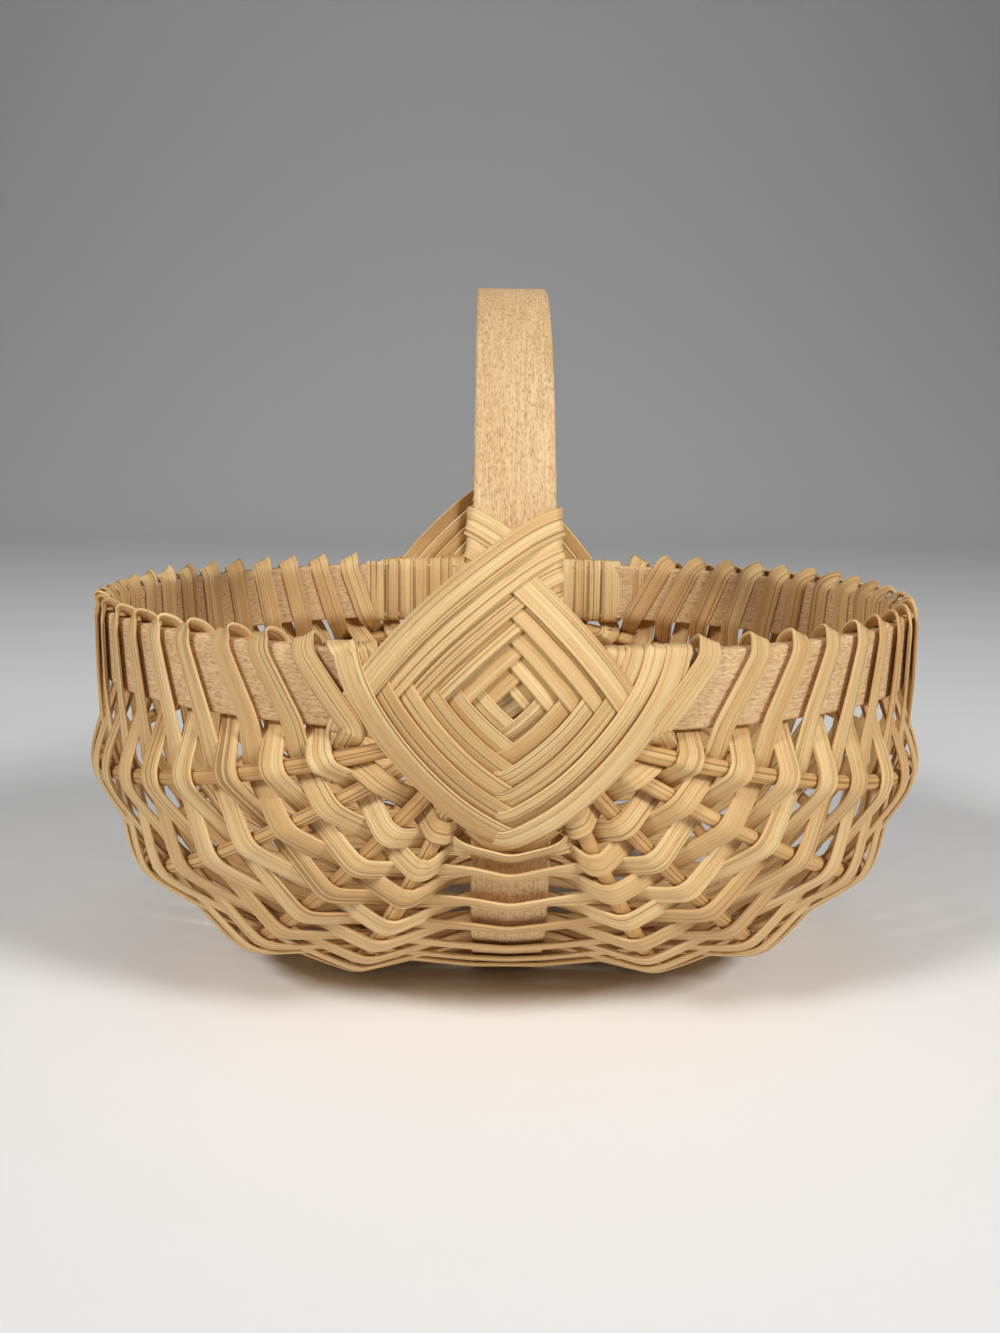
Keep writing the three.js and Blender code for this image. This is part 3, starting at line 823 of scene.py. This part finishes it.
# %% The arcs of an eye
ARMS = np.array([[1.0, 0.0], [0.0, 1.0], [-1.0, 0.0], [0.0, -1.0]])
PASSES_PER_ROUND = len(ARMS)
FIRST_PASS, SPLICE_PASS, FRONT_END, BACK_END = -1, 20, 24, 26
FIRST_START = -2.2
EYE_START = 4.6
EYE_STEP = 5.36
ARM_SHIFTS = (-1.5, 1.4, 1.5, -0.8)  # right, upper, left and lower arm
DIAGONAL = math.sqrt(2)
arm_edge = band_half + REED_LIFT


def arm_distance(number):
    """Where a pass starts on its first arm: a spiral, shifted a little on each arm. The first pass
    starts beyond the middle, so it covers the middle."""
    if number == FIRST_PASS:
        return FIRST_START
    return EYE_START + EYE_STEP * number / PASSES_PER_ROUND + ARM_SHIFTS[number % PASSES_PER_ROUND]


def arc_height(distance, bow):
    """The arc's height on the diagonal, for a pass that crosses an arm's middle at this distance."""
    return distance / DIAGONAL + bow * distance**2 / 2


def arc_reach(height, bow):
    """How far along the arc the far edge of its arm is, from the diagonal."""
    return (math.sqrt(1 + 4 * bow * (height + DIAGONAL * arm_edge)) - 1) / (2 * bow)


round_starts = [arm_distance(number) for number in range(0, FRONT_END, PASSES_PER_ROUND)]
print("the front eye's rounds start at", np.round(round_starts, 1), "mm")

# %% [markdown]
# Seen from the front, a pass runs from its first arm's near edge to its second arm's far edge. A straight
# strip would leave the arms at a slant, and the winding would slide off. Real reed is pulled square to an
# arm before it goes round, and on the bottom arm it comes out from under the pass before. Both grow from
# nothing in the second round, because the first round has no room for them.

# %% The plan of a pass
PASS_STEPS = 19
UPPER_BOW, LOWER_BOW = 0.0036, 0.0058  # per millimetre
ARM_PULLS = (0.015, 0.011, 0.015, 0.1)  # per millimetre
BOTTOM_ARM = 3
TUCK_FROM, TUCK_OVER, TUCK_DROP = 5.0, 2.5, 9.0
CROSSING_GAP = 1.3


def pass_plan(number):
    """A pass in its plane, with the direction across it and its turn of the spiral. The arc is height -
    bow * t * t over the diagonal's own axis t, turned by half a right angle to the arms' axes p and q."""
    arm, next_arm = number % PASSES_PER_ROUND, (number + 1) % PASSES_PER_ROUND
    bow = UPPER_BOW if ARMS[arm, 1] + ARMS[next_arm, 1] > 0 else LOWER_BOW
    low, high = (arc_height(arm_distance(n), bow) for n in (number, number + 1))
    t = np.linspace(-arc_reach(low, bow), arc_reach(high, bow), PASS_STEPS)
    share = (t - t[0]) / (t[-1] - t[0])
    s = low + (high - low) * share - bow * t**2
    p, q = (s - t) / DIAGONAL, (s + t) / DIAGONAL
    grown = np.clip(number / PASSES_PER_ROUND - 1, 0, 1)
    tuck = TUCK_DROP * np.clip((-q - TUCK_FROM) / TUCK_OVER, 0, 1) * grown * (arm == BOTTOM_ARM)
    pulls = (ARM_PULLS[arm] * grown, ARM_PULLS[next_arm] * grown)
    p, q = p - pulls[0] * np.minimum(q, 0) ** 2, q - pulls[1] * np.minimum(p, 0) ** 2
    plan = p[:, None] * ARMS[arm] + q[:, None] * ARMS[next_arm]
    heading = np.gradient(plan, axis=0)
    outward = unit(np.stack([heading[:, 1], -heading[:, 0]], axis=-1))
    turn = arm_distance(number) + CROSSING_GAP
    turn = turn + (arm_distance(number + 1) - CROSSING_GAP - turn) * share - tuck
    return plan, outward, turn


last_span = np.ptp(pass_plan(SPLICE_PASS)[0][:, 0])
print(f"the last round's first pass spans {last_span:.0f} mm from side to side")

# %% [markdown]
# The passes overlap like shingles, with their inner edges up, and a later pass always lies on an earlier
# one. Collisions could be solved one by one, pass over pass. One rule gives the same: the height of a
# pass over any point grows with its turn of the spiral, and falls with the distance of that point from
# the middle. So no two passes ever cut into each other.

# %% The height of the passes
EYE_SLOPE = 0.34  # height lost for each millimetre from the middle
EYE_BASE = 1.6
EYE_LOWEST = 0.5
EYE_SOFTNESS = 1.2
ARM_SOFTNESS = 2.0
SIDE_FALL = 0.323  # slope of the base beside the handle hoop


def eye_face(x, z):
    """How far the eye's base stands in front of the basket's middle: on the handle hoop's round outer
    face, falling away on both sides to the rim."""
    face = np.sqrt(hoop_radius**2 - (z - hoop_rise) ** 2)
    return face - SIDE_FALL * np.maximum(0, np.abs(x) - arm_edge)


def spiral_distance(plan):
    """Where the arc through a point crosses the arms: arc_height solved for the distance, with the arms'
    axes rounded off, so that the passes bend softly over the arms."""
    x, z = (np.sqrt(plan[:, i] ** 2 + ARM_SOFTNESS**2) - ARM_SOFTNESS for i in range(2))
    bow = np.where(plan[:, 1] > 0, UPPER_BOW, LOWER_BOW)
    level = (x + z) / DIAGONAL + bow * (x - z) ** 2 / 2
    return (np.sqrt(0.5 + 2 * bow * level) - math.sqrt(0.5)) / bow


def pass_point(plan, turn):
    """A point of a pass, lifted off the base. The soft floor log(1 + exp(h)) keeps it off the hoops."""
    rise = (EYE_BASE + EYE_SLOPE * (turn - spiral_distance(plan)) - EYE_LOWEST) / EYE_SOFTNESS
    lift = EYE_LOWEST + EYE_SOFTNESS * np.log1p(np.exp(rise))
    x, z = plan[:, 0], plan[:, 1]
    return np.stack([x, -eye_face(x, z) - lift, z], axis=-1)


crown = -pass_point(np.zeros((1, 2)), arm_distance(0))[0, 1] - eye_face(0.0, 0.0)
print(f"the first full pass stands {crown:.1f} mm off the hoop at the middle")

# %% [markdown]
# In front a pass takes its tilt from the heights of its two edges. Behind an arm the reed runs straight
# across the hoop's inner face. It could follow the spiral's slant there as well, but the next turn hides
# it, so four sections are enough: round the far edge, along the back and round the near edge.

# %% The front and the back of a pass
EYE_WIDTH = 6.2
EYE_THICKNESS = 0.75
TURN_DEPTH = 1.5
TURN_LEANS = np.array([-0.3, 0.7, 0.7, -0.3])


def arm_back(place, upright):
    """How far the inner face of the hoop behind an arm stands in front of the middle."""
    if upright:
        return math.sqrt((hoop_radius - BAND_THICKNESS) ** 2 - (place[1] - hoop_rise) ** 2)
    share = place[0] / (rim_half_length - BAND_THICKNESS)
    return (rim_half_depth - BAND_THICKNESS) * math.sqrt(1 - share**2)


def front_sections(number):
    """A pass over the front: its two edges give its middle and its tilt."""
    plan, outward, turn = pass_plan(number)
    half = outward * EYE_WIDTH / 2
    inner, outer = pass_point(plan - half, turn), pass_point(plan + half, turn)
    through = np.tile([0.0, -EYE_THICKNESS / 2, 0.0], (PASS_STEPS, 1))
    return (inner + outer) / 2, (outer - inner) / 2, through


def back_sections(number, last):
    """From the end of a pass round behind its second arm, to where the next pass starts."""
    arm, onward = ARMS[(number + 1) % PASSES_PER_ROUND], ARMS[(number + 2) % PASSES_PER_ROUND]
    end = np.array([last[0], last[2]])
    far = end + onward * REED_LIFT
    near = far - onward * 2 * (arm_edge + REED_LIFT)
    beside = last[1] + TURN_DEPTH
    behind = -arm_back(end, arm[0] == 0) + REED_LIFT
    corners = ((far, beside), (far, behind), (near, behind), (near, beside))
    at = np.array([[place[0], y, place[1]] for place, y in corners])
    across = np.tile([arm[0] * EYE_WIDTH / 2, 0.0, arm[1] * EYE_WIDTH / 2], (len(corners), 1))
    faces = np.array([onward, onward, -onward, -onward])
    through = unit(np.stack([faces[:, 0], TURN_LEANS, faces[:, 1]], -1))
    return at, across, through * EYE_THICKNESS / 2


print("sections in a pass:", len(front_sections(0)[0]), "in front and", len(TURN_LEANS), "behind")

# %% [markdown]
# The front eye is two reeds. The photograph shows the second one start at the top, under the winding,
# where the first ran out, and go once round the outside. One long reed would be simpler, but it would
# have no such start. The back eye is hardly seen, so it is one reed, turned to the back and wound half a
# round farther.

# %% Wind the eyes
EYE_PASSES = 2
TONES_PER_PASS = 2
EYE_TONES = (0.1, 0.7)
SPLICE_SECTIONS, HIDDEN_END = 4, 3  # sections kept of a spliced reed's first pass and of the last turn
TO_THE_FRONT = np.ones(3)
TO_THE_BACK = np.array([1.0, -1.0, 1.0])
EYE_REEDS = (
    ("front_eye_reed", "front_eye", TO_THE_FRONT, range(FIRST_PASS, SPLICE_PASS), False),
    ("front_eye_last_reed", "front_eye", TO_THE_FRONT, range(SPLICE_PASS, FRONT_END), True),
    ("back_eye_reed", "back_eye", TO_THE_BACK, range(FIRST_PASS, BACK_END), False),
)


def eye_path(numbers, spliced):
    """One reed of an eye: its passes over the front, joined behind the arms. A reed that is spliced in
    starts under its second pass, so only the end of its first pass is there."""
    parts = []
    for number in numbers:
        parts.append(front_sections(number))
        parts.append(back_sections(number, parts[-1][0][-1]))
    if spliced:
        parts[0] = tuple(part[-SPLICE_SECTIONS:] for part in parts[0])
    parts[-1] = tuple(part[:HIDDEN_END] for part in parts[-1])
    return tuple(np.vstack(part) for part in zip(*parts))


for name, node, turned, numbers, spliced in EYE_REEDS:
    path = bent_path(*(part * turned for part in eye_path(numbers, spliced)), passes=EYE_PASSES)
    knots = np.linspace(0, len(path[0]), len(numbers) * TONES_PER_PASS)
    tone = np.interp(np.arange(len(path[0])), knots, RANDOM.uniform(*EYE_TONES, len(knots)))
    dress(sweep(name, path, reed_outline, tone), flat_reed, "flat_reed", node)
    print(f"{name}: {len(numbers)} passes")

# %% [markdown]
# The basket stands on a pale sheet of paper that curves up behind it, as in a product studio. A floor and
# a wall would meet in a line across the picture. One curved sheet has no such line. Its sizes are in
# metres, and reach far beyond the picture's edges.

# %% The sheet
SHEET_FRONT, SHEET_DEPTH, SHEET_BEND, SHEET_TOP = -3.0, 1.2, 0.8, 2.4
SHEET_HALF_WIDTH = 3.0
SHEET_STEPS = 24
SHEET_ROUGHNESS = 0.8


def backdrop():
    """A floor that turns up into a wall through a quarter circle, as one curved sheet."""
    turn = np.linspace(0, np.pi / 2, SHEET_STEPS)
    y = np.concatenate([[SHEET_FRONT], SHEET_DEPTH + SHEET_BEND * np.sin(turn), [SHEET_DEPTH + SHEET_BEND]])
    z = np.concatenate([[0.0], SHEET_BEND * (1 - np.cos(turn)), [SHEET_TOP]])
    edges = [np.stack([np.full_like(y, x), y, z], axis=-1) for x in (-SHEET_HALF_WIDTH, SHEET_HALF_WIDTH)]
    first = np.arange(len(y) - 1)
    faces = np.stack([first, first + len(y), first + len(y) + 1, first + 1], axis=-1)
    mesh = bpy.data.meshes.new("sheet")
    mesh.from_pydata(np.vstack(edges), [], faces)
    mesh.polygons.foreach_set("use_smooth", np.ones(len(faces), bool))
    sheet = bpy.data.objects.new("sheet", mesh)
    bpy.context.scene.collection.objects.link(sheet)
    paper = Finish("sheet_paper")
    paper.shader.inputs["Base Color"].default_value = paint(250, 250, 250)
    paper.shader.inputs["Roughness"].default_value = SHEET_ROUGHNESS
    mesh.materials.append(paper.material)
    return sheet


sheet = backdrop()
print("the sheet has", len(sheet.data.polygons), "faces")

# %% [markdown]
# Two soft lamps light the basket from the front, one from each side, and a weak one above opens the
# shadows inside it. Bare lamps would burn out the pale sheet below them. A grid in front of a studio lamp
# keeps its light together, and the lamp's spread does the same here: the light goes to the basket and not
# to the floor beside it. A faint even light stands for the room.

# %% The lamps
LAMP_SPREAD = math.radians(90)
LAMP_AIM = Vector((0.0, 0.0, 0.09))
LAMPS = (
    ("left", (-1.2, -1.3, 1.4), 0.5, 6.0),
    ("right", (1.3, -1.2, 1.2), 0.5, 6.6),
    ("top", (0.0, -0.3, 1.9), 1.2, 0.8),
)
ROOM_LIGHT = 0.05


def area_lamp(name, place, size, power):
    """A square lamp at a place in metres, turned to the basket, with its power in watts."""
    lamp = bpy.data.lights.new(name, "AREA")
    lamp.shape = "SQUARE"
    lamp.size = size
    lamp.energy = power
    lamp.spread = LAMP_SPREAD
    holder = bpy.data.objects.new(name, lamp)
    bpy.context.scene.collection.objects.link(holder)
    holder.location = place
    holder.rotation_euler = (LAMP_AIM - Vector(place)).to_track_quat("-Z", "Y").to_euler()


for lamp in LAMPS:
    area_lamp(*lamp)
world = bpy.data.worlds.new("soft_room")
bpy.context.scene.world = world
world.use_nodes = True
world.node_tree.nodes["Background"].inputs["Color"].default_value = (1.0, 1.0, 1.0, 1.0)
world.node_tree.nodes["Background"].inputs["Strength"].default_value = ROOM_LIGHT
bpy.context.scene.view_settings.view_transform = "Standard"
print("lamps:", [f"{name} {power} W" for name, _, _, power in LAMPS])

# %% [markdown]
# The camera stands where the photograph was taken from. It could be placed by trying, but a hand's breadth
# changes the ellipse of the rim. So its distance, height and turn were fitted to the rim and the handle in
# the photograph. A shift of the lens, and not a turn, puts the rim's middle on its own pixel.

# %% The camera
PHOTO_WIDTH, PHOTO_HEIGHT = 1000, 1333
FOCAL_PX = 1361.0
CAMERA_DISTANCE = 403.6
ELEVATION, YAW, ROLL = (math.radians(angle) for angle in (9.4, 0.99, 0.69))
RIM_MIDDLE_PX = (507.0, 629.2)
SENSOR_WIDTH = 36.0
CLIP_START = 0.01  # metres

forward = np.array(
    [math.sin(YAW) * math.cos(ELEVATION), math.cos(YAW) * math.cos(ELEVATION), -math.sin(ELEVATION)]
)
level = np.array([math.cos(YAW), -math.sin(YAW), 0.0])
overhead = np.cross(level, forward)
right = math.cos(ROLL) * level + math.sin(ROLL) * overhead
top = math.cos(ROLL) * overhead - math.sin(ROLL) * level
viewpoint = (np.array([0.0, 0.0, rim_height]) - CAMERA_DISTANCE * forward) / MM_PER_M

camera_data = bpy.data.cameras.new("camera")
camera_data.sensor_width = SENSOR_WIDTH
camera_data.lens = FOCAL_PX * SENSOR_WIDTH / PHOTO_HEIGHT
camera_data.shift_x = (PHOTO_WIDTH / 2 - RIM_MIDDLE_PX[0]) / PHOTO_HEIGHT
camera_data.shift_y = (RIM_MIDDLE_PX[1] - PHOTO_HEIGHT / 2) / PHOTO_HEIGHT
camera_data.clip_start = CLIP_START
camera = bpy.data.objects.new("camera", camera_data)
bpy.context.scene.collection.objects.link(camera)
columns = np.eye(4)
columns[:3] = np.stack([right, top, -forward, viewpoint], axis=-1)
camera.matrix_world = Matrix(columns.tolist())
bpy.context.scene.camera = camera
print(f"camera: {camera_data.lens:.1f} mm lens, {CAMERA_DISTANCE:.0f} mm from the rim's middle")
